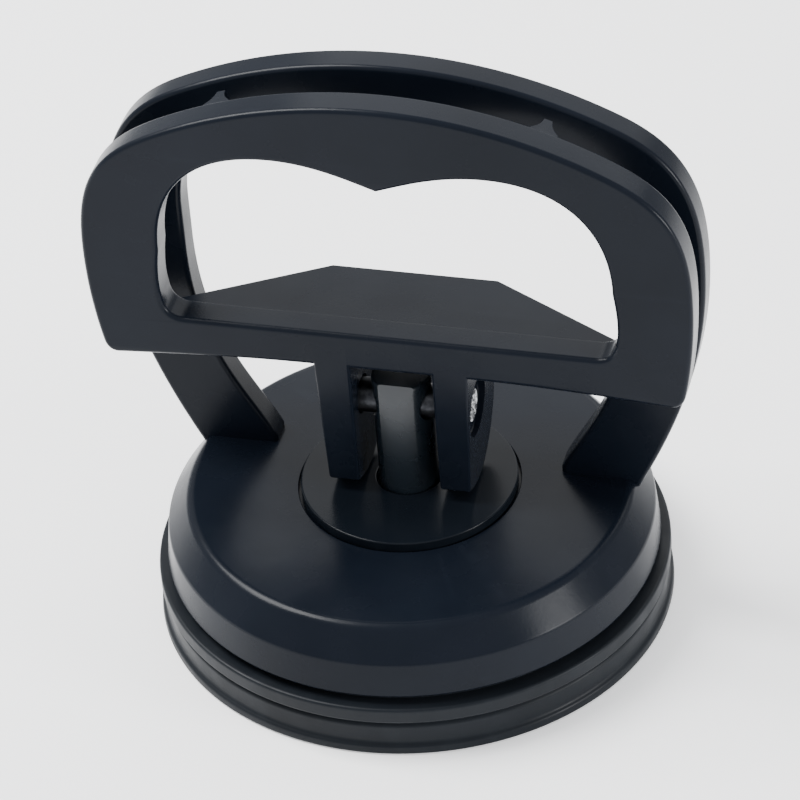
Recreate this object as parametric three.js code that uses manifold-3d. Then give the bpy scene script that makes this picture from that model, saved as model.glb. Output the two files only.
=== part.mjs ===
// Hand-held vacuum suction cup with a squeeze lever, in millimetres.
// X runs across the two handles, Y points to the back, Z is up.
// The origin is on the axis of the cup, in the plane that the rubber lip rests on.
import * as THREE from 'three';
import { mergeVertices } from 'three/addons/utils/BufferGeometryUtils.js';
import Module from 'manifold-3d';

const wasm = await Module();
wasm.setup();

// fits
const CLEARANCE = 0.3;
const LATHE_SEGMENTS = 64;
const ROUND_SEGMENTS = 28;
const CURVE_SEGMENTS = 9;
const SHORTEST_EDGE = 0.05;

// rubber suction cup
const LIP_RADIUS = 28.5;
const LIP_FOOT_HEIGHT = 0.9;
const LIP_WALL_RADIUS = 28.0;
const SEAM_RADIUS = 27.7;
const SEAM_HEIGHT = 3.8;
const RIDGE_RADIUS = 28.3;
const RIDGE_TOP = 6.1;
const NECK_RADIUS = 26.2;
const NECK_TOP = 6.7;
const PLUG_TOP = 8.4;
const PLUG_INNER_RADIUS = 22.4;
const CONTACT_INNER_RADIUS = 24.4;
const DOME_HEIGHT = 1.9;
const DOME_FLAT_RADIUS = 12.0;
const BOSS_RADIUS = 14.4;
const BOSS_TOP = 7.1;
const WEB_LOW_RADIUS = 20.6;
const WEB_LOW_TOP = 4.3;

// cap and its fixed handle
const CAP_RIM_BOTTOM = 7.0;
const CAP_RIM_RADIUS = 27.25;
const CAP_BAND_TOP = 11.2;
const CAP_BAND_TOP_RADIUS = 26.8;
const CAP_TOP = 14.5;
const CAP_TOP_RADIUS = 24.3;
const CAP_SKIRT_INNER_RADIUS = 24.9;
const CAP_ROOF_UNDERSIDE = 11.5;
const RECESS_RADIUS = 12.2;
const RECESS_FLOOR = 13.9;
const HUB_RADIUS = 5.2;
const HUB_BOTTOM = 9.6;

// disc under the cams
const DISC_RADIUS = 11.9;
const DISC_TOP = 15.4;
const DISC_EDGE = 0.2;

// handles
const HANDLE_TOP = 66.2;
const HANDLE_TOP_ARC = 55;
const HANDLE_SHOULDER_X = 24;
const EDGE_ROUNDING = 0.55;
const ARCH_FRONT_Y = 4.0;
const ARCH_THICKNESS = 3.4;
const ARCH_HALF_WIDTH = 32.8;
const ARCH_FOOT_Z = 12.2;
const LEVER_FRONT_Y = -4.0;
const LEVER_THICKNESS = 3.7;
const LEVER_HALF_WIDTH = 33.1;
const LEVER_BOTTOM = 32.4;
const LEVER_FOOT_Z = 31.4;
const LEVER_CORNER = 1.6;
const GRIP_HALF_WIDTH = 24.8;
const GRIP_BOTTOM = 36.9;
const GRIP_CORNER = 2.4;
const SCALLOP_TOP = 58.7;
const CUSP_Z = 56.0;

// web behind the lever's bar
const SHELF_TOP = 36.7;
const SHELF_THICKNESS = 3.0;
const SHELF_BACK_Y = 8.4;
const SHELF_BACK_HALF_WIDTH = 9.2;

// bumpers that meet the fixed handle when the grip is squeezed
const BUMPER_X = 17.5;
const BUMPER_DEPTH = 2.0;
const BUMPER_WIDTH = 3.0;
const BUMPER_TIP_WIDTH = 1.0;
const BUMPER_HEIGHT = 3.2;
const BUMPER_DROP = 0.1;

// hinge, cams and stem
const PIN_Z = 26.0;
const PIN_RADIUS = 1.9;
const PIN_HALF_LENGTH = 7.9;
const PIN_CHAMFER = 0.35;
const PIN_SINK_RADIUS = 3.5;
const PIN_SINK_X = 7.35;
const PRONG_INNER_X = 4.5;
const PRONG_OUTER_X = 8.6;
const PRONG_TAPER = 0.045;
const PRONG_BACK_Y = 7.8;
const CAM_LIFT_PER_RADIAN = 1.2;
const CAM_GAP = 0.2;
const CAM_REACH = PIN_Z - DISC_TOP - CAM_GAP;
const SWING_AT_HEEL = -0.06;
const SWING_AT_TOE = 0.52;
const CAM_STEPS = 10;
const STEM_RADIUS = 3.25;
const STEM_TOP = 29.5;
const STEM_BOTTOM = 7.9;
const STEM_FACET_Y = 2.5;
const STEM_FACET_BOTTOM = 26.2;

// moulded-in plate, its screw and the spring above it
const PLATE_RADIUS = 12.0;
const PLATE_BOTTOM = 6.1;
const PLATE_TOP = 7.6;
const SCREW_RADIUS = 1.5;
const SCREW_TIP_Z = 17.0;
const SCREW_HEAD_RADIUS = 3.4;
const SCREW_HEAD_BOTTOM = 4.5;
const SCREW_HEAD_TOP = 5.8;
const SPRING_RADIUS = 6.6;
const SPRING_WIRE_RADIUS = 0.4;
const SPRING_TURNS = 2.5;

const PLASTIC = { color: 0x2c3038, roughness: 0.42, metalness: 0.0 };
const RUBBER = { color: 0x20242a, roughness: 0.62, metalness: 0.0 };
const STEEL = { color: 0xb8bbc0, roughness: 0.34, metalness: 1.0 };
const ZINC = { color: 0x8d9096, roughness: 0.45, metalness: 1.0 };

function toSolid(geometry) {
  const bare = geometry.index ? geometry.toNonIndexed() : geometry.clone();
  bare.deleteAttribute('normal');
  bare.deleteAttribute('uv');
  const merged = mergeVertices(bare, 1e-4);
  const corners = merged.index.array;
  const faces = [];
  for (let i = 0; i < corners.length; i += 3) {
    const [a, b, c] = [corners[i], corners[i + 1], corners[i + 2]];
    if (a !== b && b !== c && c !== a) faces.push(a, b, c);
  }
  return new wasm.Manifold(new wasm.Mesh({
    numProp: 3,
    vertProperties: new Float32Array(merged.attributes.position.array),
    triVerts: new Uint32Array(faces),
  }));
}

function toMesh(name, solid, look) {
  const out = solid.getMesh();
  const geometry = new THREE.BufferGeometry();
  geometry.setAttribute('position', new THREE.BufferAttribute(new Float32Array(out.vertProperties), 3));
  geometry.setIndex(new THREE.BufferAttribute(new Uint32Array(out.triVerts), 1));
  geometry.computeVertexNormals();
  const mesh = new THREE.Mesh(geometry, new THREE.MeshStandardMaterial(look));
  mesh.name = name;
  return mesh;
}

// Solid of revolution about Z from [radius, height] pairs that run anticlockwise in the r-z plane.
function turned(profile, segments = LATHE_SEGMENTS) {
  const points = profile.map(([radius, height]) => new THREE.Vector2(radius, height));
  const geometry = new THREE.LatheGeometry(points, segments);
  geometry.rotateX(Math.PI / 2);
  return toSolid(geometry);
}

function rod(radius, from, to, axis = 'z', centre = [0, 0, 0]) {
  const geometry = new THREE.CylinderGeometry(radius, radius, to - from, ROUND_SEGMENTS);
  geometry.translate(0, (from + to) / 2, 0);
  if (axis === 'z') geometry.rotateX(Math.PI / 2);
  if (axis === 'x') geometry.rotateZ(-Math.PI / 2);
  geometry.translate(...centre);
  return toSolid(geometry);
}

// Points of an outline, anticlockwise, with the repeated ones at the joins of its curves left out.
function distinctPoints(path) {
  const kept = [];
  for (const point of path.getPoints(CURVE_SEGMENTS)) {
    const last = kept[kept.length - 1];
    if (!last || last.distanceTo(point) > SHORTEST_EDGE) kept.push(point);
  }
  while (kept[0].distanceTo(kept[kept.length - 1]) < SHORTEST_EDGE) kept.pop();
  return THREE.ShapeUtils.isClockWise(kept) ? kept.reverse() : kept;
}

// Plate standing in the XZ plane, from a shape drawn as x and z, with rounded edges.
function uprightPlate(shape, frontY, thickness) {
  const outline = new THREE.Shape(distinctPoints(shape));
  outline.holes = shape.holes.map((hole) => new THREE.Path(distinctPoints(hole)));
  const geometry = new THREE.ExtrudeGeometry(outline, {
    depth: thickness - 2 * EDGE_ROUNDING,
    bevelEnabled: true,
    bevelThickness: EDGE_ROUNDING,
    bevelSize: EDGE_ROUNDING,
    bevelOffset: -EDGE_ROUNDING,
    bevelSegments: 2,
  });
  geometry.rotateX(Math.PI / 2);
  geometry.translate(0, frontY + thickness - EDGE_ROUNDING, 0);
  return toSolid(geometry);
}

function topArcZ(x) {
  return HANDLE_TOP - HANDLE_TOP_ARC + Math.sqrt(HANDLE_TOP_ARC ** 2 - x ** 2);
}

// Crown of either handle, from its left flank over the top to its right flank.
function drawCrown(shape, halfWidth, flankZ) {
  const shoulderZ = topArcZ(HANDLE_SHOULDER_X);
  const slope = Math.asin(HANDLE_SHOULDER_X / HANDLE_TOP_ARC);
  const reach = 7.6;
  const nearX = HANDLE_SHOULDER_X + reach * Math.cos(slope);
  const nearZ = shoulderZ - reach * Math.sin(slope);
  const flankPull = 9.0;
  shape.moveTo(-halfWidth, flankZ);
  shape.bezierCurveTo(-halfWidth, flankZ + flankPull, -nearX, nearZ, -HANDLE_SHOULDER_X, shoulderZ);
  const arcCentre = HANDLE_TOP - HANDLE_TOP_ARC;
  shape.absarc(0, arcCentre, HANDLE_TOP_ARC, Math.PI / 2 + slope, Math.PI / 2 - slope, true);
  shape.bezierCurveTo(nearX, nearZ, halfWidth, flankZ + flankPull, halfWidth, flankZ);
}

// Upper edge of a grip opening: two finger scallops and a cusp.
// It runs from left to right, or from right to left when the side is negative.
function drawScallops(path, sideX, sideZ) {
  const way = Math.sign(sideX);
  const scallopX = 11.5 * way;
  const outerX = 20.5 * way;
  const innerX = 6.5 * way;
  const cuspX = 2.6 * way;
  const flankZ = sideZ + 7.5;
  const cuspSideZ = CUSP_Z + 0.9;
  path.bezierCurveTo(-sideX, flankZ, -outerX, SCALLOP_TOP, -scallopX, SCALLOP_TOP);
  path.bezierCurveTo(-innerX, SCALLOP_TOP, -cuspX, cuspSideZ, 0, CUSP_Z);
  path.bezierCurveTo(cuspX, cuspSideZ, innerX, SCALLOP_TOP, scallopX, SCALLOP_TOP);
  path.bezierCurveTo(outerX, SCALLOP_TOP, sideX, flankZ, sideX, sideZ);
}

function leverPlate() {
  const flankZ = 44.5;
  const footX = LEVER_HALF_WIDTH - 1.1;
  const shape = new THREE.Shape();
  drawCrown(shape, LEVER_HALF_WIDTH, flankZ);
  shape.quadraticCurveTo(LEVER_HALF_WIDTH, 38.5, footX, LEVER_FOOT_Z + LEVER_CORNER);
  shape.quadraticCurveTo(footX - 0.3, LEVER_FOOT_Z, footX - LEVER_CORNER, LEVER_FOOT_Z);
  shape.quadraticCurveTo(PRONG_OUTER_X + 9, LEVER_BOTTOM, PRONG_OUTER_X, LEVER_BOTTOM);
  shape.lineTo(-PRONG_OUTER_X, LEVER_BOTTOM);
  shape.quadraticCurveTo(-PRONG_OUTER_X - 9, LEVER_BOTTOM, -footX + LEVER_CORNER, LEVER_FOOT_Z);
  shape.quadraticCurveTo(-footX + 0.3, LEVER_FOOT_Z, -footX, LEVER_FOOT_Z + LEVER_CORNER);
  shape.quadraticCurveTo(-LEVER_HALF_WIDTH, 38.5, -LEVER_HALF_WIDTH, flankZ);
  shape.holes.push(gripHole());
  return uprightPlate(shape, LEVER_FRONT_Y, LEVER_THICKNESS);
}

function gripHole() {
  const sideZ = 45.5;
  const sideX = GRIP_HALF_WIDTH - 0.2;
  const hole = new THREE.Path();
  hole.moveTo(-sideX, sideZ);
  drawScallops(hole, sideX, sideZ);
  hole.quadraticCurveTo(GRIP_HALF_WIDTH + 0.4, 41.5, GRIP_HALF_WIDTH, GRIP_BOTTOM + GRIP_CORNER);
  hole.quadraticCurveTo(GRIP_HALF_WIDTH - 0.2, GRIP_BOTTOM, GRIP_HALF_WIDTH - GRIP_CORNER, GRIP_BOTTOM);
  hole.lineTo(-GRIP_HALF_WIDTH + GRIP_CORNER, GRIP_BOTTOM);
  hole.quadraticCurveTo(-GRIP_HALF_WIDTH + 0.2, GRIP_BOTTOM, -GRIP_HALF_WIDTH, GRIP_BOTTOM + GRIP_CORNER);
  hole.quadraticCurveTo(-GRIP_HALF_WIDTH - 0.4, 41.5, -sideX, sideZ);
  return hole;
}

// Trapezoid web behind the bar that joins the plate to the tops of the prongs.
function shelf() {
  const frontY = LEVER_FRONT_Y + 1.5;
  const plateBack = LEVER_FRONT_Y + LEVER_THICKNESS;
  const shape = new THREE.Shape();
  shape.moveTo(-GRIP_HALF_WIDTH, frontY);
  shape.lineTo(GRIP_HALF_WIDTH, frontY);
  shape.lineTo(GRIP_HALF_WIDTH, plateBack);
  shape.lineTo(SHELF_BACK_HALF_WIDTH, SHELF_BACK_Y);
  shape.lineTo(-SHELF_BACK_HALF_WIDTH, SHELF_BACK_Y);
  shape.lineTo(-GRIP_HALF_WIDTH, plateBack);
  shape.closePath();
  const rounding = 0.25;
  const geometry = new THREE.ExtrudeGeometry(shape, {
    depth: SHELF_THICKNESS - 2 * rounding,
    bevelEnabled: true,
    bevelThickness: rounding,
    bevelSize: rounding,
    bevelOffset: -rounding,
    bevelSegments: 2,
  });
  geometry.translate(0, 0, SHELF_TOP - SHELF_THICKNESS + rounding);
  return toSolid(geometry);
}

// Lowest point of the cam below the pin axis, in the lever's own frame, at one swing angle.
// The reach falls evenly with the swing, so the foot stays just above the flat disc under it.
function camPoint(swing) {
  const reach = CAM_REACH - CAM_LIFT_PER_RADIAN * swing;
  const y = -reach * Math.sin(swing) + CAM_LIFT_PER_RADIAN * Math.cos(swing);
  const z = -reach * Math.cos(swing) - CAM_LIFT_PER_RADIAN * Math.sin(swing);
  return [y, PIN_Z + z];
}

function prongOutline() {
  const top = SHELF_TOP - 1.0;
  const shape = new THREE.Shape();
  shape.moveTo(LEVER_FRONT_Y, top);
  shape.lineTo(PRONG_BACK_Y, top);
  shape.lineTo(PRONG_BACK_Y, PIN_Z - 2.5);
  const [heelY, heelZ] = camPoint(SWING_AT_HEEL);
  shape.bezierCurveTo(PRONG_BACK_Y, PIN_Z - 6.0, heelY + 3.4, heelZ + 0.7, heelY, heelZ);
  for (let step = 1; step <= CAM_STEPS; step += 1) {
    const swing = SWING_AT_HEEL + ((SWING_AT_TOE - SWING_AT_HEEL) * step) / CAM_STEPS;
    shape.lineTo(...camPoint(swing));
  }
  const [, toeZ] = camPoint(SWING_AT_TOE);
  shape.lineTo(LEVER_FRONT_Y, toeZ + 0.25);
  shape.closePath();
  return shape;
}

// One prong, drawn as y and z, its outer face leaning inward toward the foot.
function prong(side) {
  const width = PRONG_OUTER_X - PRONG_INNER_X;
  const geometry = new THREE.ExtrudeGeometry(prongOutline(), {
    depth: width,
    bevelEnabled: false,
    curveSegments: 8,
  });
  const turn = new THREE.Matrix4().makeBasis(
    new THREE.Vector3(0, 1, 0),
    new THREE.Vector3(0, 0, 1),
    new THREE.Vector3(1, 0, 0),
  );
  geometry.applyMatrix4(turn);
  geometry.translate(PRONG_INNER_X, 0, 0);
  const position = geometry.attributes.position;
  for (let i = 0; i < position.count; i += 1) {
    const drop = Math.max(0, LEVER_BOTTOM - position.getZ(i));
    if (position.getX(i) > PRONG_INNER_X + width / 2) {
      position.setX(i, PRONG_OUTER_X - PRONG_TAPER * drop);
    }
  }
  if (side < 0) geometry.rotateZ(Math.PI).scale(1, -1, 1);
  if (side < 0) flipWinding(geometry);
  return toSolid(geometry);
}

function flipWinding(geometry) {
  const position = geometry.attributes.position;
  for (let i = 0; i < position.count; i += 3) {
    const held = [position.getX(i), position.getY(i), position.getZ(i)];
    position.setXYZ(i, position.getX(i + 1), position.getY(i + 1), position.getZ(i + 1));
    position.setXYZ(i + 1, ...held);
  }
}

function bumper(side) {
  const back = LEVER_FRONT_Y + LEVER_THICKNESS;
  const shape = new THREE.Shape();
  shape.moveTo(-BUMPER_WIDTH / 2, -1);
  shape.lineTo(BUMPER_WIDTH / 2, -1);
  shape.lineTo(BUMPER_WIDTH / 2, 0);
  shape.quadraticCurveTo(BUMPER_TIP_WIDTH / 2, BUMPER_DEPTH * 0.4, BUMPER_TIP_WIDTH / 2, BUMPER_DEPTH);
  shape.lineTo(-BUMPER_TIP_WIDTH / 2, BUMPER_DEPTH);
  shape.quadraticCurveTo(-BUMPER_TIP_WIDTH / 2, BUMPER_DEPTH * 0.4, -BUMPER_WIDTH / 2, 0);
  shape.closePath();
  const options = { depth: BUMPER_HEIGHT, bevelEnabled: false, curveSegments: 5 };
  const geometry = new THREE.ExtrudeGeometry(shape, options);
  geometry.translate(0, 0, -BUMPER_HEIGHT);
  geometry.rotateY(side * Math.asin(BUMPER_X / HANDLE_TOP_ARC));
  geometry.translate(side * BUMPER_X, back, topArcZ(BUMPER_X) - BUMPER_DROP);
  return toSolid(geometry);
}

function leverHandle() {
  let solid = leverPlate().add(shelf());
  for (const side of [-1, 1]) {
    solid = solid.add(prong(side)).add(bumper(side));
    const sinkFrom = side < 0 ? -PRONG_OUTER_X - 2 : PIN_SINK_X;
    const sinkTo = side < 0 ? -PIN_SINK_X : PRONG_OUTER_X + 2;
    solid = solid.subtract(rod(PIN_SINK_RADIUS, sinkFrom, sinkTo, 'x', [0, 0, PIN_Z]));
  }
  const bore = rod(PIN_RADIUS + CLEARANCE, -PRONG_OUTER_X, PRONG_OUTER_X, 'x', [0, 0, PIN_Z]);
  return solid.subtract(bore);
}

function archShape() {
  const flankZ = 43.0;
  const footInnerX = 16.1;
  const footOuterX = 24.1;
  const sideX = GRIP_HALF_WIDTH - 0.5;
  const sideZ = 45.5;
  const shape = new THREE.Shape();
  drawCrown(shape, ARCH_HALF_WIDTH, flankZ);
  shape.bezierCurveTo(ARCH_HALF_WIDTH, 32, 29.2, 22, footOuterX, ARCH_FOOT_Z);
  shape.lineTo(footInnerX, ARCH_FOOT_Z);
  shape.lineTo(footInnerX, CAP_TOP + 0.6);
  shape.bezierCurveTo(18.6, 20.5, sideX - 0.2, 26, sideX, sideZ - 6);
  shape.lineTo(sideX, sideZ);
  drawScallops(shape, -sideX, sideZ);
  shape.lineTo(-sideX, sideZ - 6);
  shape.bezierCurveTo(-sideX + 0.2, 26, -18.6, 20.5, -footInnerX, CAP_TOP + 0.6);
  shape.lineTo(-footInnerX, ARCH_FOOT_Z);
  shape.lineTo(-footOuterX, ARCH_FOOT_Z);
  shape.bezierCurveTo(-29.2, 22, -ARCH_HALF_WIDTH, 32, -ARCH_HALF_WIDTH, flankZ);
  return shape;
}

function capShell() {
  const bore = STEM_RADIUS + CLEARANCE;
  return turned([
    [bore, HUB_BOTTOM],
    [HUB_RADIUS, HUB_BOTTOM],
    [HUB_RADIUS, CAP_ROOF_UNDERSIDE],
    [CAP_SKIRT_INNER_RADIUS - 1.2, CAP_ROOF_UNDERSIDE],
    [CAP_SKIRT_INNER_RADIUS, CAP_ROOF_UNDERSIDE - 1.2],
    [CAP_SKIRT_INNER_RADIUS, CAP_RIM_BOTTOM],
    [CAP_RIM_RADIUS - 0.3, CAP_RIM_BOTTOM],
    [CAP_RIM_RADIUS, CAP_RIM_BOTTOM + 0.3],
    [CAP_BAND_TOP_RADIUS, CAP_BAND_TOP - 0.2],
    [CAP_BAND_TOP_RADIUS - 0.15, CAP_BAND_TOP + 0.15],
    [CAP_TOP_RADIUS + 0.3, CAP_TOP - 0.3],
    [CAP_TOP_RADIUS - 0.1, CAP_TOP],
    [RECESS_RADIUS, CAP_TOP],
    [RECESS_RADIUS, RECESS_FLOOR],
    [bore + 0.3, RECESS_FLOOR],
    [bore, RECESS_FLOOR - 0.3],
    [bore, HUB_BOTTOM],
  ]);
}

function capBody() {
  return capShell().add(uprightPlate(archShape(), ARCH_FRONT_Y, ARCH_THICKNESS));
}

function suctionCup() {
  const headPocket = SCREW_HEAD_RADIUS + CLEARANCE;
  const platePocket = PLATE_RADIUS + CLEARANCE;
  const plugRadius = CAP_SKIRT_INNER_RADIUS - CLEARANCE;
  return turned([
    [0, DOME_HEIGHT],
    [DOME_FLAT_RADIUS, DOME_HEIGHT],
    [16.5, DOME_HEIGHT - 0.35],
    [20.8, DOME_HEIGHT - 1.15],
    [CONTACT_INNER_RADIUS, 0],
    [LIP_RADIUS - 0.3, 0],
    [LIP_RADIUS, 0.3],
    [LIP_RADIUS - 0.1, LIP_FOOT_HEIGHT],
    [LIP_WALL_RADIUS, LIP_FOOT_HEIGHT + 0.4],
    [LIP_WALL_RADIUS - 0.05, SEAM_HEIGHT - 0.4],
    [SEAM_RADIUS, SEAM_HEIGHT - 0.1],
    [SEAM_RADIUS, SEAM_HEIGHT + 0.1],
    [RIDGE_RADIUS, SEAM_HEIGHT + 0.5],
    [RIDGE_RADIUS, RIDGE_TOP - 0.4],
    [RIDGE_RADIUS - 0.4, RIDGE_TOP],
    [NECK_RADIUS, RIDGE_TOP],
    [NECK_RADIUS, NECK_TOP],
    [plugRadius, NECK_TOP],
    [plugRadius, PLUG_TOP - 0.4],
    [plugRadius - 0.4, PLUG_TOP],
    [PLUG_INNER_RADIUS, PLUG_TOP],
    [PLUG_INNER_RADIUS - 0.4, WEB_LOW_TOP + 0.9],
    [WEB_LOW_RADIUS, WEB_LOW_TOP],
    [17.2, WEB_LOW_TOP + 0.55],
    [BOSS_RADIUS + 0.8, WEB_LOW_TOP + 1.1],
    [BOSS_RADIUS, BOSS_TOP - 0.3],
    [BOSS_RADIUS - 0.3, BOSS_TOP],
    [platePocket, BOSS_TOP],
    [platePocket, PLATE_BOTTOM - CLEARANCE],
    [headPocket, PLATE_BOTTOM - CLEARANCE],
    [headPocket, SCREW_HEAD_BOTTOM - CLEARANCE],
    [0, SCREW_HEAD_BOTTOM - CLEARANCE],
  ]);
}

// Thin disc in the cap's recess that takes the wear of the cams.
function wearDisc() {
  const bore = STEM_RADIUS + CLEARANCE;
  const bottom = RECESS_FLOOR + CLEARANCE;
  return turned([
    [bore, bottom],
    [DISC_RADIUS, bottom],
    [DISC_RADIUS, DISC_TOP - DISC_EDGE],
    [DISC_RADIUS - DISC_EDGE, DISC_TOP],
    [bore, DISC_TOP],
    [bore, bottom],
  ]);
}

function insertPlate() {
  const hole = SCREW_RADIUS + CLEARANCE;
  return turned([
    [hole, PLATE_BOTTOM],
    [PLATE_RADIUS - 0.2, PLATE_BOTTOM],
    [PLATE_RADIUS, PLATE_BOTTOM + 0.2],
    [PLATE_RADIUS, PLATE_TOP - 0.2],
    [PLATE_RADIUS - 0.2, PLATE_TOP],
    [hole, PLATE_TOP],
    [hole, PLATE_BOTTOM],
  ], 48);
}

function stemScrew() {
  return turned([
    [0, SCREW_HEAD_BOTTOM],
    [SCREW_HEAD_RADIUS - 0.4, SCREW_HEAD_BOTTOM],
    [SCREW_HEAD_RADIUS, SCREW_HEAD_BOTTOM + 0.4],
    [SCREW_HEAD_RADIUS, SCREW_HEAD_TOP],
    [SCREW_RADIUS, SCREW_HEAD_TOP],
    [SCREW_RADIUS, SCREW_TIP_Z - 0.6],
    [SCREW_RADIUS - 0.6, SCREW_TIP_Z],
    [0, SCREW_TIP_Z],
  ], 28);
}

// Flat facet on the front or back of the stem's top, running out into the round below.
function stemFacetCut(side) {
  const lean = Math.atan2(STEM_RADIUS - STEM_FACET_Y, STEM_TOP - STEM_FACET_BOTTOM);
  const geometry = new THREE.BoxGeometry(10, 4, 14);
  geometry.translate(0, 2, 0);
  geometry.rotateX(lean);
  geometry.translate(0, STEM_FACET_Y, STEM_TOP);
  if (side < 0) geometry.rotateZ(Math.PI);
  return toSolid(geometry);
}

function pullStem() {
  const edge = 0.3;
  let solid = turned([
    [0, STEM_BOTTOM],
    [STEM_RADIUS - edge, STEM_BOTTOM],
    [STEM_RADIUS, STEM_BOTTOM + edge],
    [STEM_RADIUS, STEM_TOP - edge],
    [STEM_RADIUS - edge, STEM_TOP],
    [0, STEM_TOP],
  ], 40);
  for (const side of [-1, 1]) solid = solid.subtract(stemFacetCut(side));
  solid = solid.subtract(rod(PIN_RADIUS + CLEARANCE, -STEM_RADIUS - 1, STEM_RADIUS + 1, 'x', [0, 0, PIN_Z]));
  return solid.subtract(rod(SCREW_RADIUS + CLEARANCE, STEM_BOTTOM - 1, SCREW_TIP_Z + 0.5));
}

function hingePin() {
  const geometry = new THREE.LatheGeometry([
    new THREE.Vector2(0, -PIN_HALF_LENGTH),
    new THREE.Vector2(PIN_RADIUS - PIN_CHAMFER, -PIN_HALF_LENGTH),
    new THREE.Vector2(PIN_RADIUS, -PIN_HALF_LENGTH + PIN_CHAMFER),
    new THREE.Vector2(PIN_RADIUS, PIN_HALF_LENGTH - PIN_CHAMFER),
    new THREE.Vector2(PIN_RADIUS - PIN_CHAMFER, PIN_HALF_LENGTH),
    new THREE.Vector2(0, PIN_HALF_LENGTH),
  ], ROUND_SEGMENTS);
  geometry.rotateZ(-Math.PI / 2);
  geometry.translate(0, 0, PIN_Z);
  return toSolid(geometry);
}

// Open coil between the insert plate and the underside of the cap's roof.
function returnSpring() {
  const low = PLATE_TOP + CLEARANCE + SPRING_WIRE_RADIUS;
  const high = CAP_ROOF_UNDERSIDE - CLEARANCE - SPRING_WIRE_RADIUS;
  const aroundWire = 8;
  const stepsPerTurn = 24;
  const steps = Math.round(SPRING_TURNS * stepsPerTurn);
  const vertices = [];
  const faces = [];
  for (let i = 0; i <= steps; i += 1) {
    const angle = (2 * Math.PI * i) / stepsPerTurn;
    const height = low + ((high - low) * i) / steps;
    for (let j = 0; j < aroundWire; j += 1) {
      const around = (2 * Math.PI * j) / aroundWire;
      const radius = SPRING_RADIUS + SPRING_WIRE_RADIUS * Math.cos(around);
      const level = height + SPRING_WIRE_RADIUS * Math.sin(around);
      vertices.push(radius * Math.cos(angle), radius * Math.sin(angle), level);
    }
  }
  for (let i = 0; i < steps; i += 1) {
    for (let j = 0; j < aroundWire; j += 1) {
      const next = (j + 1) % aroundWire;
      const a = i * aroundWire + j;
      const b = i * aroundWire + next;
      faces.push(a, a + aroundWire, b);
      faces.push(b, a + aroundWire, b + aroundWire);
    }
  }
  const last = steps * aroundWire;
  for (let j = 1; j < aroundWire - 1; j += 1) {
    faces.push(0, j, j + 1);
    faces.push(last, last + j + 1, last + j);
  }
  return new wasm.Manifold(new wasm.Mesh({
    numProp: 3,
    vertProperties: new Float32Array(vertices),
    triVerts: new Uint32Array(faces),
  }));
}

const part = new THREE.Group();
part.name = 'vacuum_suction_cup';
part.add(toMesh('cap_body', capBody(), PLASTIC));
part.add(toMesh('lever_handle', leverHandle(), PLASTIC));
part.add(toMesh('pull_stem', pullStem(), PLASTIC));
part.add(toMesh('hinge_pin', hingePin(), STEEL));
part.add(toMesh('wear_disc', wearDisc(), PLASTIC));
part.add(toMesh('suction_cup', suctionCup(), RUBBER));
part.add(toMesh('insert_plate', insertPlate(), ZINC));
part.add(toMesh('stem_screw', stemScrew(), ZINC));
part.add(toMesh('return_spring', returnSpring(), STEEL));

export default part;
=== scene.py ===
import math

import bmesh
import bpy
from mathutils import Matrix, Vector, noise


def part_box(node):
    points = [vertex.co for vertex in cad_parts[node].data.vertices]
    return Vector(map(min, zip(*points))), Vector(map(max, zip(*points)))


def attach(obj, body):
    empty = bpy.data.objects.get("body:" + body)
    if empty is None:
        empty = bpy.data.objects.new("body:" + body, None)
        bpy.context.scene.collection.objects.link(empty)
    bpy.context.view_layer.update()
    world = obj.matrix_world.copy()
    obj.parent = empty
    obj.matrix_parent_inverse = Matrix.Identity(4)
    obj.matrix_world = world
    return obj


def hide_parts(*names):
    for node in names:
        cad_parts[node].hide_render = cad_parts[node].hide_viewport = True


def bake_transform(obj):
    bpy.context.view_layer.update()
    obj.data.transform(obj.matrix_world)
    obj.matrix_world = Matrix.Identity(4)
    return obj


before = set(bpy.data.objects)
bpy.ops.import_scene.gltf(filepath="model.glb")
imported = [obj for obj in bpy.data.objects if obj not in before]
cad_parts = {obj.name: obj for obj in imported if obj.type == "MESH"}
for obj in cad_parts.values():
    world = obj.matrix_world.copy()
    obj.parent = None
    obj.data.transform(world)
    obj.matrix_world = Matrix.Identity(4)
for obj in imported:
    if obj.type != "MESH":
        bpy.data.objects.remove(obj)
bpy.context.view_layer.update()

MM = 0.001


def cad(node):
    """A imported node's lowest and highest corners, in millimetres."""
    low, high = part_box(node)
    return low / MM, high / MM


LEVER_LOW, LEVER_HIGH = cad("lever_handle")
STEM_LOW, STEM_HIGH = cad("pull_stem")
PIN_LOW, PIN_HIGH = cad("hinge_pin")
CAP_HIGH = cad("cap_body")[1]

# Sizes and places, in millimetres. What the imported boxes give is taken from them.
CLEARANCE = 0.3

# Both handles
HANDLE_TOP = CAP_HIGH.z
TOP_ARC = 55.0
SHOULDER_X = 24.0
SHOULDER_PULL = 7.6
FLANK_PULL = 9.0
HANDLE_ROUNDING = 0.55
GRIP_HALF = 24.8
GRIP_BOTTOM = 36.9
GRIP_LEVEL = 45.5
SCALLOP_TOP = 58.7
SCALLOP_X = 11.5
CUSP_Z = 56.0

# Squeeze lever
LEVER_FRONT = LEVER_LOW.y
LEVER_THICK = 3.7
LEVER_HALF = LEVER_HIGH.x
LEVER_BOTTOM = 32.4
LEVER_FOOT = 31.4
SHELF_TOP = 36.7
SHELF_THICK = 3.0
SHELF_BACK = LEVER_HIGH.y
SHELF_BACK_HALF = 9.2
BUMPER_X = 17.5
PRONG_INNER = 4.5
PRONG_OUTER = 8.6
PRONG_TAPER = 0.045
PRONG_BACK = 7.8

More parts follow.
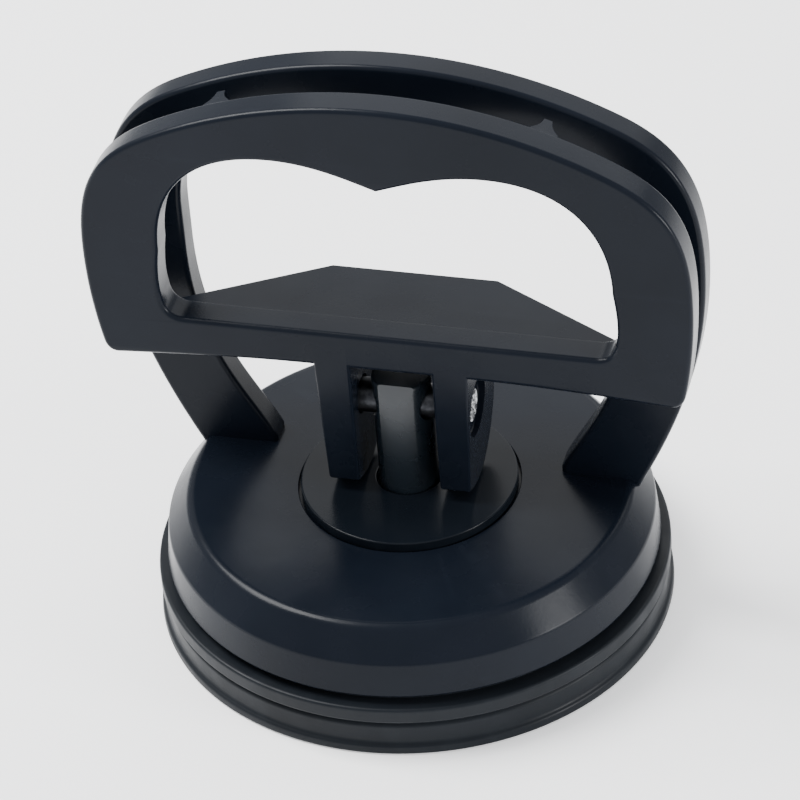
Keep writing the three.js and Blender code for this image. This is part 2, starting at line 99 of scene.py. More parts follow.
# Pin and the cams below it
PIN_Z = (PIN_LOW.z + PIN_HIGH.z) / 2
PIN_RADIUS = (PIN_HIGH.z - PIN_LOW.z) / 2
BORE_HALF = 9.0
SINK_RADIUS = 3.5
SINK_X = 7.35
SINK_END = 11.0
DISC_TOP = cad("wear_disc")[1].z
CAM_LIFT = 1.2
CAM_REACH = PIN_Z - DISC_TOP - 0.2
SWING_AT_HEEL = -0.06
CAM_SWEEP = 0.58
CAM_STEPS = 12

# Cap and disc
CAP_RIM_RADIUS = CAP_HIGH.y
CAP_TOP = 14.5
CAP_BORE = 3.55
CAP_SEGMENTS = 224
RECESS_RADIUS = 12.2
RECESS_FLOOR = 13.9
DISC_RADIUS = 11.9
DISC_BOTTOM = 14.2
ARCH_FRONT = 4.0
ARCH_THICK = 3.4
ARCH_HALF = CAP_HIGH.x

# Stem
SCREW_HOLE_RADIUS = 1.8
SCREW_HOLE_TOP = 17.3
FACET_LEAN = 12.8
FACET_OFFSET = 2.5
FACET_BLOCK = 6.0

# The cup's web lies between two radii and is cut into slices.
LIP_RADIUS = cad("suction_cup")[1].x
WEB_INNER = 15.6
WEB_OUTER = 20.0
WEB_SLICES = 16
CUP_SEGMENTS = 224


# ---------------------------------------------------------------- meshes

def mesh_from(name, bm):
    """A mesh from a finished bmesh, its faces turned outwards."""
    bmesh.ops.recalc_face_normals(bm, faces=bm.faces)
    mesh = bpy.data.meshes.new(name)
    bm.to_mesh(mesh)
    bm.free()
    return mesh


def join_rings(bm, one, two):
    """Quads between two closed rings with the same number of vertices."""
    for i in range(len(one)):
        j = (i + 1) % len(one)
        bm.faces.new((one[i], one[j], two[j], two[i]))


def new_object(name, mesh):
    piece = bpy.data.objects.new(name, mesh)
    bpy.context.scene.collection.objects.link(piece)
    return piece


def finished_mesh(piece):
    """The object's mesh with its modifiers applied."""
    bpy.context.view_layer.update()
    graph = bpy.context.evaluated_depsgraph_get()
    return bpy.data.meshes.new_from_object(piece.evaluated_get(graph))


def apply_modifiers(piece):
    mesh = finished_mesh(piece)
    piece.modifiers.clear()
    piece.data = mesh
    return piece


def bevel_edges(piece, width, segments, degrees):
    """Rounds the edges that turn by more than an angle."""
    edge = piece.modifiers.new("edge", "BEVEL")
    edge.width = width * MM
    edge.segments = segments
    edge.limit_method = "ANGLE"
    edge.angle_limit = math.radians(degrees)
    return apply_modifiers(piece)


def clean(mesh, distance=1e-7):
    """Joins vertices that lie closer than a distance, in metres."""
    bm = bmesh.new()
    bm.from_mesh(mesh)
    bmesh.ops.remove_doubles(bm, verts=bm.verts, dist=distance)
    bmesh.ops.recalc_face_normals(bm, faces=bm.faces)
    bm.to_mesh(mesh)
    bm.free()
    return mesh


def smooth(piece, degrees=38):
    piece.data.shade_smooth()
    piece.data.set_sharp_from_angle(angle=math.radians(degrees))
    weighted = piece.modifiers.new("normals", "WEIGHTED_NORMAL")
    weighted.keep_sharp = True
    weighted.weight = 80
    return piece


def rounded(profile, steps=5):
    """A profile of (r, z) or (r, z, radius): a corner with a radius becomes a fillet."""
    out = []
    count = len(profile)
    for i, corner in enumerate(profile):
        if len(corner) < 3 or i == 0 or i == count - 1:
            out.append(tuple(corner[:2]))
            continue
        here = Vector(corner[:2])
        before = Vector(profile[i - 1][:2]) - here
        after = Vector(profile[i + 1][:2]) - here
        reach = min(corner[2], before.length * 0.49, after.length * 0.49)
        a = here + before.normalized() * reach
        b = here + after.normalized() * reach
        for k in range(steps + 1):
            t = k / steps
            p = a * (1 - t) ** 2 + here * 2 * t * (1 - t) + b * t * t
            out.append((p.x, p.y))
    return out


def lathe(name, profile, segments=192, closed=False):
    """Solid of revolution about Z from a profile in millimetres."""
    bm = bmesh.new()
    rings = []
    for r, z in profile:
        if r < 1e-6:
            rings.append([bm.verts.new((0, 0, z * MM))])
            continue
        ring = []
        for i in range(segments):
            a = 2 * math.pi * i / segments
            ring.append(bm.verts.new((r * MM * math.cos(a), r * MM * math.sin(a), z * MM)))
        rings.append(ring)
    pairs = list(zip(rings, rings[1:]))
    if closed:
        pairs.append((rings[-1], rings[0]))
    for low, high in pairs:
        if len(low) > 1 and len(high) > 1:
            join_rings(bm, low, high)
            continue
        for i in range(segments):
            j = (i + 1) % segments
            if len(high) > 1:
                bm.faces.new((low[0], high[j], high[i]))
            elif len(low) > 1:
                bm.faces.new((low[i], low[j], high[0]))
    return new_object(name, mesh_from(name, bm))


def bezier(p0, p1, p2, p3, steps=22):
    """Points along a cubic curve, without its first."""
    found = []
    for i in range(1, steps + 1):
        t = i / steps
        s = 1 - t
        found.append(tuple(
            s ** 3 * a + 3 * s * s * t * b + 3 * s * t * t * c + t ** 3 * d
            for a, b, c, d in zip(p0, p1, p2, p3)))
    return found


def quadratic(p0, p1, p2, steps=14):
    """Points along a curve with one control point, without its first."""
    return bezier(
        p0,
        tuple(a + (b - a) * 2 / 3 for a, b in zip(p0, p1)),
        tuple(c + (b - c) * 2 / 3 for c, b in zip(p2, p1)),
        p2, steps)


class Outline:
    """A flat outline in millimetres, drawn from point to point."""

    def __init__(self, x, z):
        self.points = [(x, z)]

    def line(self, x, z):
        self.points.append((x, z))

    def curve(self, *controls):
        self.points += bezier(self.points[-1], *controls)

    def bend(self, control, end):
        self.points += quadratic(self.points[-1], control, end)


def flat_plate(name, outline, holes, thickness, rounding):
    """Plate in the XY plane, centred on it, with rounded edges, from outlines in millimetres."""
    curve = bpy.data.curves.new(name, "CURVE")
    curve.dimensions = "2D"
    curve.fill_mode = "BOTH"
    curve.extrude = (thickness / 2 - rounding) * MM
    curve.bevel_depth = rounding * MM
    curve.bevel_resolution = 4
    curve.offset = -rounding * MM
    for points in [outline, *holes]:
        kept = [points[0]]
        for p in points[1:]:
            if math.dist(p, kept[-1]) > 0.04:
                kept.append(p)
        while math.dist(kept[0], kept[-1]) < 0.04:
            kept.pop()
        spline = curve.splines.new("POLY")
        spline.points.add(len(kept) - 1)
        for target, (x, z) in zip(spline.points, kept):
            target.co = (x * MM, z * MM, 0, 1)
        spline.use_cyclic_u = True
    holder = bpy.data.objects.new(name + "_outline", curve)
    bpy.context.scene.collection.objects.link(holder)
    mesh = finished_mesh(holder)
    bpy.data.objects.remove(holder)
    clean(mesh, 2e-6)
    return new_object(name, mesh)


def upright_plate(name, outline, holes, front, thickness, rounding):
    """The same plate standing in the XZ plane, its front face at y = front."""
    plate = flat_plate(name, outline, holes, thickness, rounding)
    turn = Matrix.Rotation(math.radians(90), 4, "X")
    plate.data.transform(Matrix.Translation((0, (front + thickness / 2) * MM, 0)) @ turn)
    return plate


def prism(name, points, depth, place, bevel=0.3, segments=3):
    """Solid from a flat outline in millimetres, raised by depth, then placed by a matrix."""
    bm = bmesh.new()
    low = [bm.verts.new((x * MM, y * MM, 0)) for x, y in points]
    high = [bm.verts.new((x * MM, y * MM, depth * MM)) for x, y in points]
    bm.faces.new(list(reversed(low)))
    bm.faces.new(high)
    join_rings(bm, low, high)
    mesh = mesh_from(name, bm)
    mesh.transform(place)
    piece = new_object(name, mesh)
    if bevel:
        bevel_edges(piece, bevel, segments, 30)
    return piece


def rod(name, radius, start, end, centre, segments=72):
    """Cylinder along X with softened rims."""
    piece = lathe(name, rounded([
        (0, start), (radius, start, 0.25), (radius, end, 0.25), (0, end)]), segments)
    turn = Matrix.Rotation(math.radians(90), 4, "Y")
    piece.data.transform(Matrix.Translation(Vector(centre) * MM) @ turn)
    return piece


def combine(piece, others, operation):
    """Joins the other solids to a piece, or cuts them from it, and removes them."""
    for other in others:
        step = piece.modifiers.new("join", "BOOLEAN")
        step.operation = operation
        step.solver = "EXACT"
        step.object = other
        apply_modifiers(piece)
        bpy.data.objects.remove(other)
    clean(piece.data, 5e-7)
    return piece


# ---------------------------------------------------------------- outlines

def top_arc(x):
    """Height of the handles' upper edge."""
    return HANDLE_TOP - TOP_ARC + math.sqrt(TOP_ARC ** 2 - x ** 2)


def crown(shape, half, flank):
    """From the left flank over the top to the right flank."""
    shoulder = top_arc(SHOULDER_X)
    slope = math.asin(SHOULDER_X / TOP_ARC)
    near_x = SHOULDER_X + SHOULDER_PULL * math.cos(slope)
    near_z = shoulder - SHOULDER_PULL * math.sin(slope)
    shape.curve((-half, flank + FLANK_PULL), (-near_x, near_z), (-SHOULDER_X, shoulder))
    steps = 40
    for i in range(1, steps + 1):
        x = math.sin(slope * (2 * i / steps - 1)) * TOP_ARC
        shape.line(x, top_arc(x))
    shape.curve((near_x, near_z), (half, flank + FLANK_PULL), (half, flank))


def scallops(shape, side, level, way):
    """Two finger scallops and a cusp, from left to right, or right to left for way -1."""
    peak, edge = (way * SCALLOP_X, SCALLOP_TOP), way * side
    outer, inner, near_cusp = way * 20.5, way * 6.5, way * 2.6
    rise, cusp_rise = 7.5, 0.9
    shape.curve((-edge, level + rise), (-outer, SCALLOP_TOP), (-peak[0], SCALLOP_TOP))
    shape.curve((-inner, SCALLOP_TOP), (-near_cusp, CUSP_Z + cusp_rise), (0, CUSP_Z))
    shape.curve((near_cusp, CUSP_Z + cusp_rise), (inner, SCALLOP_TOP), peak)
    shape.curve((outer, SCALLOP_TOP), (edge, level + rise), (edge, level))


def lever_outline():
    half, flank = LEVER_HALF, 44.5
    foot = half - 1.1
    shape = Outline(-half, flank)
    crown(shape, half, flank)
    shape.bend((half, 38.5), (foot, LEVER_FOOT + 1.6))
    shape.bend((foot - 0.3, LEVER_FOOT), (foot - 1.6, LEVER_FOOT))
    shape.bend((PRONG_OUTER + 9, LEVER_BOTTOM), (PRONG_OUTER, LEVER_BOTTOM))
    shape.line(-PRONG_OUTER, LEVER_BOTTOM)
    shape.bend((-PRONG_OUTER - 9, LEVER_BOTTOM), (-foot + 1.6, LEVER_FOOT))
    shape.bend((-foot + 0.3, LEVER_FOOT), (-foot, LEVER_FOOT + 1.6))
    shape.bend((-half, 38.5), (-half, flank))
    return shape.points


def grip_outline():
    side, level, corner = GRIP_HALF - 0.2, GRIP_LEVEL, 2.4
    hole = Outline(-side, level)
    scallops(hole, side, level, 1)
    hole.bend((GRIP_HALF + 0.4, 41.5), (GRIP_HALF, GRIP_BOTTOM + corner))
    hole.bend((GRIP_HALF - 0.2, GRIP_BOTTOM), (GRIP_HALF - corner, GRIP_BOTTOM))
    hole.line(-GRIP_HALF + corner, GRIP_BOTTOM)
    hole.bend((-GRIP_HALF + 0.2, GRIP_BOTTOM), (-GRIP_HALF, GRIP_BOTTOM + corner))
    hole.bend((-GRIP_HALF - 0.4, 41.5), (-side, level))
    return hole.points


def arch_outline():
    half, flank, inner, outer = ARCH_HALF, 43.0, 16.1, 24.1
    side, level, foot = GRIP_HALF - 0.5, GRIP_LEVEL, 12.2
    shape = Outline(-half, flank)
    crown(shape, half, flank)
    shape.curve((half, 32), (29.2, 22), (outer, foot))
    shape.line(inner, foot)
    shape.line(inner, CAP_TOP + 0.6)
    shape.curve((18.6, 20.5), (side - 0.2, 26), (side, level - 6))
    shape.line(side, level)
    scallops(shape, side, level, -1)
    shape.line(-side, level - 6)
    shape.curve((-side + 0.2, 26), (-18.6, 20.5), (-inner, CAP_TOP + 0.6))
    shape.line(-inner, foot)
    shape.line(-outer, foot)
    shape.curve((-29.2, 22), (-half, 32), (-half, flank))
    return shape.points


def cam_point(swing):
    """Where the cam touches the disc when the lever has swung by an angle in radians."""
    reach = CAM_REACH - CAM_LIFT * swing
    y = -reach * math.sin(swing) + CAM_LIFT * math.cos(swing)
    z = -reach * math.cos(swing) - CAM_LIFT * math.sin(swing)
    return y, PIN_Z + z


def prong_outline():
    shape = Outline(LEVER_FRONT, SHELF_TOP - 1)
    shape.line(PRONG_BACK, SHELF_TOP - 1)
    shape.line(PRONG_BACK, PIN_Z - 2.5)
    heel = cam_point(SWING_AT_HEEL)
    shape.curve((PRONG_BACK, PIN_Z - 6), (heel[0] + 3.4, heel[1] + 0.7), heel)
    for i in range(1, CAM_STEPS + 1):
        shape.line(*cam_point(SWING_AT_HEEL + CAM_SWEEP * i / CAM_STEPS))
    shape.line(LEVER_FRONT, cam_point(0.52)[1] + 0.25)
    return shape.points


# ---------------------------------------------------------------- pieces

def make_prong(side):
    width = PRONG_OUTER - PRONG_INNER
    # the outline's x and y become the object's y and z
    turn = Matrix(((0, 0, 1, 0), (1, 0, 0, 0), (0, 1, 0, 0), (0, 0, 0, 1)))
    place = Matrix.Translation((PRONG_INNER * MM, 0, 0)) @ turn
    prong = prism("prong", prong_outline(), width, place, bevel=0)
    middle = (PRONG_INNER + width / 2) * MM
    for v in prong.data.vertices:
        if v.co.x > middle:
            v.co.x -= PRONG_TAPER * max(0, LEVER_BOTTOM * MM - v.co.z)
    bevel_edges(prong, 0.28, 3, 40)
    if side < 0:
        prong.data.transform(Matrix.Diagonal((-1, 1, 1, 1)))
        prong.data.flip_normals()
    return prong


def make_bumper(side):
    back = LEVER_FRONT + LEVER_THICK
    half, tip, depth, tall = 1.5, 0.5, 2.0, 3.2
    shape = Outline(-half, -1)
    shape.line(half, -1)
    shape.line(half, 0)
    shape.bend((tip, depth * 0.4), (tip, depth))
    shape.line(-tip, depth)
    shape.bend((-tip, depth * 0.4), (-half, 0))
    lean = Matrix.Rotation(side * math.asin(BUMPER_X / TOP_ARC), 4, "Y")
    place = (Matrix.Translation((side * BUMPER_X * MM, back * MM, (top_arc(BUMPER_X) - 0.1) * MM))
             @ lean @ Matrix.Translation((0, 0, -tall * MM)))
    return prism("bumper", shape.points, tall, place, bevel=0.12, segments=2)


def make_lever():
    plate = upright_plate(
        "lever", lever_outline(), [grip_outline()], LEVER_FRONT, LEVER_THICK, HANDLE_ROUNDING)
    front, back = LEVER_FRONT + 1.5, LEVER_FRONT + LEVER_THICK
    edge = [(-GRIP_HALF, front), (GRIP_HALF, front), (GRIP_HALF, back), (SHELF_BACK_HALF, SHELF_BACK),
            (-SHELF_BACK_HALF, SHELF_BACK), (-GRIP_HALF, back)]
    place = Matrix.Translation((0, 0, (SHELF_TOP - SHELF_THICK) * MM))
    parts = [prism("shelf", edge, SHELF_THICK, place, 0.25)]
    for side in (-1, 1):
        parts += [make_prong(side), make_bumper(side)]
    combine(plate, parts, "UNION")
    axis = (0, 0, PIN_Z)
    bore = rod("bore", PIN_RADIUS + CLEARANCE, -BORE_HALF, BORE_HALF, axis)
    right_sink = rod("sink", SINK_RADIUS, SINK_X, SINK_END, axis)
    left_sink = rod("sink", SINK_RADIUS, -SINK_END, -SINK_X, axis)
    combine(plate, [bore, right_sink, left_sink], "DIFFERENCE")
    return smooth(plate)


def make_cap():
    """A round shell with a hub below, a recess for the disc above, and the fixed handle as an arch."""
    hub, hub_bottom, roof, inside, rim_bottom = 5.2, 9.6, 11.5, 24.9, 7.0
    profile = rounded([
        (CAP_BORE, hub_bottom), (hub, hub_bottom), (hub, roof), (inside - 1.2, roof),
        (inside, roof - 1.2), (inside, rim_bottom),
        (CAP_RIM_RADIUS, rim_bottom, 0.3), (26.8, 11.1, 0.25), (24.25, CAP_TOP, 0.7),
        (RECESS_RADIUS, CAP_TOP, 0.12), (RECESS_RADIUS, RECESS_FLOOR),
        (CAP_BORE, RECESS_FLOOR, 0.2), (CAP_BORE, hub_bottom)])[:-1]
    shell = lathe("cap", profile, CAP_SEGMENTS, closed=True)
    arch = upright_plate("arch", arch_outline(), [], ARCH_FRONT, ARCH_THICK, HANDLE_ROUNDING)
    combine(shell, [arch], "UNION")
    return smooth(shell)


def part_of(profile, edge, inner):
    """The part of a closed profile that lies inside a radius, or outside it."""
    kept = []
    for (r0, z0), (r1, z1) in zip(profile, profile[1:] + profile[:1]):
        if (r0 <= edge) == inner:
            kept.append((r0, z0))
        if (r0 <= edge) != (r1 <= edge):
            kept.append((edge, z0 + (z1 - z0) * (edge - r0) / (r1 - r0)))
    return kept


def wedge(name, profile, first, steps, segments):
    """A closed slice of a solid of revolution about Z."""
    bm = bmesh.new()
    rings = []
    for k in range(steps + 1):
        a = 2 * math.pi * (first + k) / segments
        rings.append([
            bm.verts.new((r * MM * math.cos(a), r * MM * math.sin(a), z * MM)) for r, z in profile])
    for low, high in zip(rings, rings[1:]):
        join_rings(bm, low, high)
    bm.faces.new(rings[0])
    bm.faces.new(rings[-1])
    return new_object(name, mesh_from(name, bm))


def cup_profile():
    """Half of the cup's section: underside, lip, two grooves, the ring in the skirt, web, plate seat."""
    return rounded([
        (0, 1.9), (12.0, 1.9), (16.5, 1.55, 1.5), (20.8, 0.75, 1.5), (24.4, 0, 0.5),
        (LIP_RADIUS, 0, 0.28), (LIP_RADIUS - 0.08, 0.95, 0.2), (28.0, 1.3, 0.25),
        (27.95, 3.45, 0.25), (27.62, 3.75, 0.12), (27.62, 3.95, 0.12), (28.3, 4.3, 0.25),
        (28.3, 6.1, 0.4), (26.2, 6.1, 0.1), (26.2, 6.7), (24.6, 6.7), (24.6, 8.4, 0.3),
        (22.4, 8.4, 0.3), (22.0, 5.2), (20.6, 4.3, 0.6), (17.2, 4.85, 0.6), (15.2, 5.4, 0.6),
        (14.4, 7.1, 0.3), (12.3, 7.1), (12.3, 5.8), (3.7, 5.8), (3.7, 4.2), (0, 4.2)])


def make_cup_ring():
    ring = part_of(cup_profile(), WEB_OUTER, False)
    return smooth(lathe("cup", ring, CUP_SEGMENTS, closed=True), 50)


def make_cup_pad():
    return smooth(lathe("cup_pad", part_of(cup_profile(), WEB_INNER, True), CUP_SEGMENTS), 50)


def make_cup_webs():
    """Slices of the web between the pad and the ring, each with the way it faces."""
    web = part_of(part_of(cup_profile(), WEB_INNER, False), WEB_OUTER, True)
    steps = CUP_SEGMENTS // WEB_SLICES
    for i in range(WEB_SLICES):
        piece = smooth(wedge(f"cup_web_{i + 1:02d}", web, i * steps, steps, CUP_SEGMENTS), 50)
        facing = 2 * math.pi * (i + 0.5) / WEB_SLICES
        yield piece, Vector((math.cos(facing), math.sin(facing), 0))


def make_disc():
    profile = rounded([
        (CAP_BORE, DISC_BOTTOM), (DISC_RADIUS, DISC_BOTTOM), (DISC_RADIUS, DISC_TOP, 0.22),
        (CAP_BORE, DISC_TOP, 0.2), (CAP_BORE, DISC_BOTTOM)])[:-1]
    return smooth(lathe("disc", profile, 192, closed=True), 50)


def make_pin():
    """Steel pin: a plain shank with rough sheared ends that are real relief."""
    start, end = PIN_LOW.x, PIN_HIGH.x
    rings, around = 9, 64
    bm = bmesh.new()

    def end_face(x, way):
        made = []
        for i in range(rings + 1):
            r = PIN_RADIUS * 0.9 * i / rings
            ring = []
            for k in range(around if i else 1):
                a = 2 * math.pi * k / around
                y, z = r * math.cos(a), r * math.sin(a)
                rough = noise.noise(Vector((way * 3.1, y * 1.7, z * 1.7)))
                fine = noise.noise(Vector((way * 7.7, y * 4.3, z * 4.3)))
                sunk = min(0.42, max(0.02, 0.2 + 0.2 * rough + 0.09 * fine))
                ring.append(bm.verts.new(((x - way * sunk) * MM, y * MM, (PIN_Z + z) * MM)))
            made.append(ring)
        return made

    def plain_ring(x, radius):
        return [bm.verts.new((x * MM, radius * MM * math.cos(2 * math.pi * k / around),
                              (PIN_Z + radius * math.sin(2 * math.pi * k / around)) * MM))
                for k in range(around)]

    low, high = end_face(start, -1), end_face(end, 1)
    chain = low + [plain_ring(start + 0.12, PIN_RADIUS * 0.97), plain_ring(start + 0.4, PIN_RADIUS),
                   plain_ring(end - 0.4, PIN_RADIUS), plain_ring(end - 0.12, PIN_RADIUS * 0.97)]
    chain += list(reversed(high))
    shank_from = len(low) + 1
    for i, (one, two) in enumerate(zip(chain, chain[1:])):
        for k in range(around):
            j = (k + 1) % around
            if len(one) == 1:
                face = bm.faces.new((one[0], two[k], two[j]))
            elif len(two) == 1:
                face = bm.faces.new((one[j], one[k], two[0]))
            else:
                face = bm.faces.new((one[j], one[k], two[k], two[j]))
            # The shank's band takes the second material, a darker steel that is painted shade.
            face.material_index = 1 if i == shank_from else 0
    return smooth(new_object("pin", mesh_from("pin", bm)), 70)


def make_stem():
    """Round stem with a flat facet that leans off its top at the front and at the back."""
    radius = STEM_HIGH.x
    stem = lathe("stem", rounded([
        (0, STEM_LOW.z), (radius, STEM_LOW.z, 0.2), (radius, STEM_HIGH.z, 0.35), (0, STEM_HIGH.z)]), 96)
    below = STEM_LOW.z - 2
    screw_hole = lathe("screw_hole", [
        (0, below), (SCREW_HOLE_RADIUS, below), (SCREW_HOLE_RADIUS, SCREW_HOLE_TOP), (0, SCREW_HOLE_TOP)], 48)
    cross = rod("cross_hole", PIN_RADIUS + CLEARANCE, -5, 5, (0, 0, PIN_Z))
    half = FACET_BLOCK
    section = [(-half, 0), (half, 0), (half, FACET_BLOCK), (-half, FACET_BLOCK)]
    facets = []
    for side in (-1, 1):
        block = prism("facet", section, 14, Matrix.Translation((0, 0, -8 * MM)), 0)
        if side < 0:
            block.data.transform(Matrix.Translation((0, -FACET_BLOCK * MM, 0)))
        lean = Matrix.Rotation(math.radians(side * FACET_LEAN), 4, "X")
        place = Matrix.Translation((0, side * FACET_OFFSET * MM, STEM_HIGH.z * MM)) @ lean
        block.data.transform(place)
        facets.append(block)
    combine(stem, [screw_hole, cross, *facets], "DIFFERENCE")
    return smooth(stem)


def make_spring():
    """Coil of round wire between the plate and the cap's hub."""
    turns, wire, coil = 2.5, 0.4, 6.6
    low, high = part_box("return_spring")
    bottom, top = low.z / MM + wire, high.z / MM - wire
    bm = bmesh.new()
    steps, around = 150, 14
    rings = []
    for i in range(steps + 1):
        t = i / steps
        a = 2 * math.pi * turns * t
        centre = Vector((coil * math.cos(a), coil * math.sin(a), bottom + (top - bottom) * t))
        out = Vector((math.cos(a), math.sin(a), 0))
        ring = []
        for k in range(around):
            b = 2 * math.pi * k / around
            p = centre + out * wire * math.cos(b) + Vector((0, 0, 1)) * wire * math.sin(b)
            ring.append(bm.verts.new(p * MM))
        rings.append(ring)
    for one, two in zip(rings, rings[1:]):
        join_rings(bm, one, two)
    bm.faces.new(list(reversed(rings[0])))
    bm.faces.new(rings[-1])
    return smooth(new_object("spring", mesh_from("spring", bm)), 60)


# ---------------------------------------------------------------- materials

class Nodes:
    """A procedural material around one Principled shader, in the object's own coordinates."""

    def __init__(self, name):
        self.material = bpy.data.materials.new(name)
        self.material.use_nodes = True
        self.tree = self.material.node_tree
        self.shader = self.tree.nodes["Principled BSDF"]
        self.place = self.add("ShaderNodeTexCoord").outputs["Object"]

    def add(self, kind, **values):
        node = self.tree.nodes.new(kind)
        for key, value in values.items():
            setattr(node, key, value)
        return node

    def link(self, a, b):
        self.tree.links.new(a, b)

    def noise(self, scale, detail=3.0, stretch=(1, 1, 1), roughness=0.5):
        mapping = self.add("ShaderNodeMapping")
        mapping.inputs["Scale"].default_value = stretch
        self.link(self.place, mapping.inputs["Vector"])
        texture = self.add("ShaderNodeTexNoise")
        texture.inputs["Scale"].default_value = scale
        texture.inputs["Detail"].default_value = detail
        texture.inputs["Roughness"].default_value = roughness
        self.link(mapping.outputs["Vector"], texture.inputs["Vector"])
        return texture.outputs["Fac"]

    def span(self, value, low, high, start, end):
        step = self.add("ShaderNodeMapRange")
        for key, number in (("From Min", low), ("From Max", high), ("To Min", start), ("To Max", end)):
            step.inputs[key].default_value = number
        self.link(value, step.inputs["Value"])
        return step.outputs["Result"]

    def maths(self, operation, a, b):
        step = self.add("ShaderNodeMath", operation=operation)
        for socket, value in zip(step.inputs, (a, b)):
            if isinstance(value, (int, float)):
                socket.default_value = value
            else:
                self.link(value, socket)
        return step.outputs[0]

    def mix(self, amount, a, b):
        step = self.add("ShaderNodeMix", data_type="RGBA")
        self.link(amount, step.inputs["Factor"])
        for socket, value in ((step.inputs[6], a), (step.inputs[7], b)):
            if isinstance(value, tuple):
                socket.default_value = (*value, 1)
            else:
                self.link(value, socket)
        return step.outputs[2]

    def edges(self, low=0.515, high=0.56):
        return self.span(self.add("ShaderNodeNewGeometry").outputs["Pointiness"], low, high, 0, 1)

    def bump(self, layers):
        """layers: (height, strength, distance in millimetres)."""
        normal = None
        for height, strength, distance in layers:
            step = self.add("ShaderNodeBump")
            step.inputs["Strength"].default_value = strength
            step.inputs["Distance"].default_value = distance * MM
            self.link(height, step.inputs["Height"])
            if normal:
                self.link(normal, step.inputs["Normal"])
            normal = step.outputs["Normal"]
        self.link(normal, self.shader.inputs["Normal"])


def plastic(name, deep, pale, rough, ripple=0.10, specular=0.11, worn=True):
    """Satin moulded plastic: fine grain, slow ripple, faint scuffs and, where worn, lighter edges."""
    m = Nodes(name)
    cloud = m.span(m.noise(70, 3), 0.35, 0.7, 0, 1)
    colour = m.mix(cloud, deep, pale)
    scuff = m.span(m.noise(420, 3, (0.05, 1, 1), 0.6), 0.64, 0.9, 0, 0.22)
    marks = scuff
    if worn:
        wear = m.maths("MULTIPLY", m.edges(), m.span(m.noise(500, 4), 0.4, 0.65, 0.0, 0.10))
        marks = m.maths("MAXIMUM", scuff, wear)
    m.link(m.mix(marks, colour, tuple(c * 2.0 + 0.006 for c in pale)), m.shader.inputs["Base Color"])
    base = m.span(m.noise(160, 5), 0.3, 0.72, rough - 0.045, rough + 0.06)
    m.link(m.maths("ADD", base, m.maths("MULTIPLY", marks, 0.12)), m.shader.inputs["Roughness"])
    m.shader.inputs["IOR"].default_value = 1.46
    m.shader.inputs["Specular IOR Level"].default_value = specular
    m.bump([
        (m.noise(110, 2), ripple, 0.35),
        (m.noise(2600, 2), 0.10, 0.05),
    ])
    return m.material


def rubber(name):
    """Matt black rubber with pale dust in patches."""
    m = Nodes(name)
    dust = m.span(m.noise(330, 6, (1, 1, 0.5), 0.65), 0.5, 0.78, 0, 0.55)
    colour = m.mix(m.span(m.noise(90, 3), 0.3, 0.7, 0, 1), (0.0036, 0.0050, 0.0072), (0.0060, 0.0080, 0.0110))
    m.link(m.mix(dust, colour, (0.010, 0.0125, 0.0160)), m.shader.inputs["Base Color"])
    m.link(m.span(m.noise(220, 5), 0.3, 0.7, 0.34, 0.5), m.shader.inputs["Roughness"])
    m.shader.inputs["IOR"].default_value = 1.5
    m.shader.inputs["Specular IOR Level"].default_value = 0.12
    m.shader.inputs["Sheen Weight"].default_value = 0.02
    m.bump([(m.noise(140, 3), 0.12, 0.5), (m.noise(3200, 2), 0.16, 0.05)])
    return m.material


def metal(name, deep, pale, rough, relief, low=0.38, high=0.66):
    """Rough steel mottled in its colour from deep to pale where the noise passes from low to high; with a
    bright pale the pale flecks are painted glints.
    """
    m = Nodes(name)
    m.shader.inputs["Metallic"].default_value = 1
    mottle_and_glint = m.span(m.noise(900, 5, (1, 1, 1), 0.7), low, high, 0, 1)
    m.link(m.mix(mottle_and_glint, deep, pale), m.shader.inputs["Base Color"])
    m.link(m.span(m.noise(1400, 4), 0.3, 0.7, rough - 0.1, rough + 0.14), m.shader.inputs["Roughness"])
    m.bump([(m.noise(1100, 4, (1, 1, 1), 0.65), relief, 0.35), (m.noise(4200, 2), 0.2, 0.05)])
    return m.material


# ---------------------------------------------------------------- build

body_plastic = plastic("satin_black_plastic", (0.0034, 0.0050, 0.0086), (0.0052, 0.0072, 0.0116), 0.25)
disc_plastic = plastic("disc_plastic", (0.0036, 0.0052, 0.0078), (0.0056, 0.0074, 0.0104), 0.22, 0.05)
# The stem's colour is lighter than the body plastic's: painted highlight on the round stem.
highlight_painted_stem_plastic = plastic(
    "highlight_painted_stem_plastic", (0.0070, 0.0105, 0.0145), (0.0095, 0.0135, 0.0180), 0.27,
    ripple=0.08, specular=0.55, worn=False)
cup_rubber = rubber("black_rubber")
# Pin steel: nearly black, with small bright flecks in its colour that are painted glints.
pin_steel = metal("pin_steel", (0.035, 0.037, 0.042), (0.78, 0.80, 0.82), 0.30, 0.9, 0.48, 0.60)
# A darker copy of the steel for the pin's shank between the prongs: painted shade.
shade_painted_shank_steel = metal("shade_painted_shank_steel", (0.02, 0.021, 0.024), (0.06, 0.062, 0.068), 0.4, 0.15)
zinc_steel = metal("zinc_steel", (0.30, 0.31, 0.33), (0.55, 0.56, 0.58), 0.42, 0.2)


def settle(piece, body, node, material):
    """Gives a rigid piece its material and body, and hides its CAD node."""
    if len(piece.data.materials):
        piece.data.materials.clear()
    piece.data.materials.append(material)
    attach(piece, body)
    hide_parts(node)
    return piece


settle(make_cap(), "cap", "cap_body", body_plastic)
settle(make_disc(), "cap", "wear_disc", disc_plastic)
settle(make_lever(), "lever", "lever_handle", body_plastic)
pin = settle(make_pin(), "lever", "hinge_pin", pin_steel)
# The pin's second material darkens its shank: painted shade.
pin.data.materials.append(shade_painted_shank_steel)
settle(make_stem(), "stem", "pull_stem", highlight_painted_stem_plastic)

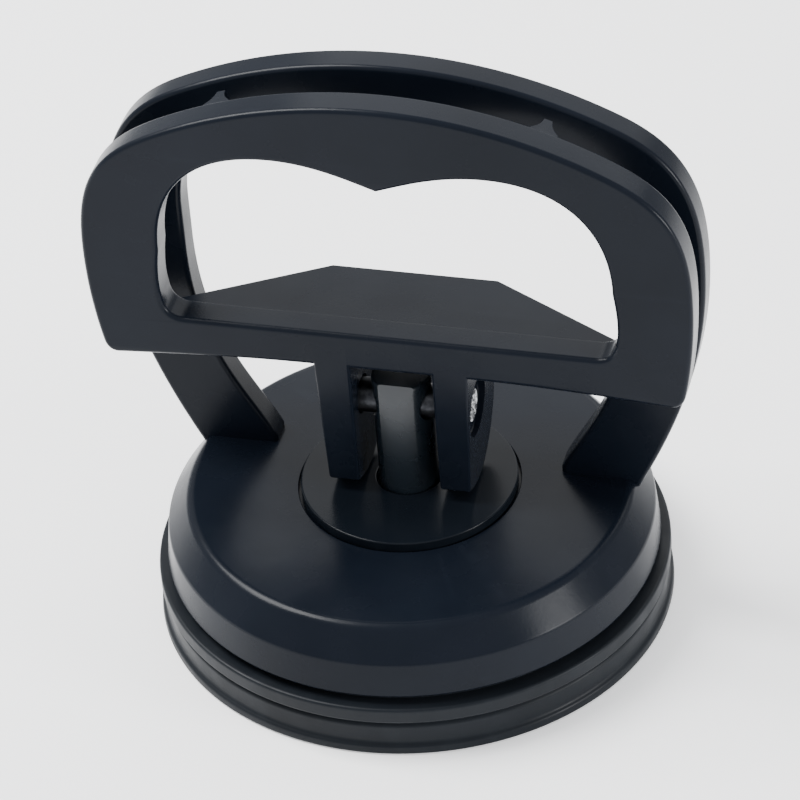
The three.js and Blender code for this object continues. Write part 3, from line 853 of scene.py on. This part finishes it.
# The cap's skirt holds the cup's outer ring, the stem carries its centre, and the web lies between them.
settle(make_cup_ring(), "cap", "suction_cup", cup_rubber)
settle(make_cup_pad(), "stem", "suction_cup", cup_rubber)
for web, facing in make_cup_webs():
    web.data.materials.append(cup_rubber)
    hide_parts("suction_cup")
    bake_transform(web)

spring = make_spring()
spring.data.materials.append(pin_steel)
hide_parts("return_spring")
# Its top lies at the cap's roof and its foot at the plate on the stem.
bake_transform(spring)

for node in ("insert_plate", "stem_screw"):
    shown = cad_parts[node]
    shown.data.materials.clear()
    shown.data.materials.append(zinc_steel)


# ---------------------------------------------------------------- stage

def make_floor():
    bm = bmesh.new()
    bmesh.ops.create_grid(bm, x_segments=8, y_segments=8, size=1.2)
    mesh = bpy.data.meshes.new("floor")
    bm.to_mesh(mesh)
    bm.free()
    floor = new_object("floor", mesh)
    floor.location.z = -0.0001
    material = bpy.data.materials.new("pale_floor")
    material.use_nodes = True
    shader = material.node_tree.nodes["Principled BSDF"]
    shader.inputs["Base Color"].default_value = (0.96, 0.96, 0.965, 1)
    shader.inputs["Roughness"].default_value = 0.6
    shader.inputs["Emission Color"].default_value = (1, 1, 1, 1)
    shader.inputs["Emission Strength"].default_value = 0.35
    floor.data.materials.append(material)


def softbox(name, place, aim, size, power, size_y=None):
    light = bpy.data.lights.new(name, "AREA")
    light.energy = power
    light.shape = "RECTANGLE"
    light.size = size
    light.size_y = size_y or size
    lamp = bpy.data.objects.new(name, light)
    bpy.context.scene.collection.objects.link(lamp)
    lamp.location = place
    lamp.rotation_euler = (Vector(aim) - Vector(place)).to_track_quat("-Z", "Y").to_euler()


def make_light():
    world = bpy.data.worlds.new("studio")
    world.use_nodes = True
    sky = world.node_tree.nodes["Background"]
    sky.inputs["Color"].default_value = (0.95, 0.97, 1.0, 1)
    sky.inputs["Strength"].default_value = 1.05
    bpy.context.scene.world = world
    centre = (0, 0, 0.03)
    softbox("key", (-0.32, 0.02, 0.5), centre, 0.3, 7.0)
    softbox("fill", (0.5, -0.12, 0.16), centre, 0.16, 2.2)
    softbox("back", (0.05, 0.5, 0.42), centre, 0.7, 1.8, 0.4)


def make_camera():
    """A long lens at the photograph's viewing angle."""
    data = bpy.data.cameras.new("view")
    data.lens = 214.5
    data.sensor_width = 36
    data.clip_start = 0.01
    camera = bpy.data.objects.new("view", data)
    bpy.context.scene.collection.objects.link(camera)
    azimuth, elevation, roll = math.radians(16.95), math.radians(38.18), math.radians(4.77)
    aim, distance = Vector((0, -0.0012, 0.0266)), 0.5129
    turn = Matrix.Rotation(azimuth, 4, "Z") @ Matrix.Rotation(math.pi / 2 - elevation, 4, "X")
    turn @= Matrix.Rotation(-roll, 4, "Z")
    camera.matrix_world = Matrix.Translation(aim) @ turn @ Matrix.Translation((0, 0, distance))
    bpy.context.scene.camera = camera


make_floor()
make_light()
make_camera()
